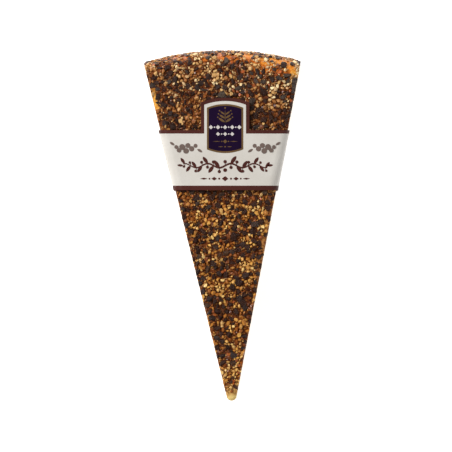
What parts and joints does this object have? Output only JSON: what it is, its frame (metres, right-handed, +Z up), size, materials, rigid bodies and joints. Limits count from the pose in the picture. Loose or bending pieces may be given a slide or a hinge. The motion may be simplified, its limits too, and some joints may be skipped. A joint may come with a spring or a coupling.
{
  "type": "cheese wedge",
  "caption": "Long narrow wedge of cheese with a cracked pepper coat on its top and rim, lying flat in a folded paper sleeve with an arched tab.",
  "frame": {"origin": "middle of the bounding box's base, on the surface that the wedge lies on", "axes": "+Z up; +Y from the thin tip to the rim, square to the paper sleeve; +X across the wedge"},
  "size_m": [0.054, 0.1204, 0.0425],
  "materials": {
    "pepper_coat": "cracked pepper in an oily brown coat",
    "cheese_paste": "smooth knife-cut cheese, satin",
    "pepper_husk": "wrinkled dark husk",
    "pepper_kernel": "cracked pale kernel, slightly oily",
    "sleeve_paper": "coated cream paper, satin",
    "sleeve_print": "printed brown ink",
    "panel_print": "printed dark plum ink",
    "bronze_print": "printed bronze ink"
  },
  "bodies": {
    "root": {"cheese_wedge": "pepper_coat", "paper_sleeve": "sleeve_paper"}
  },
  "joints": []
}
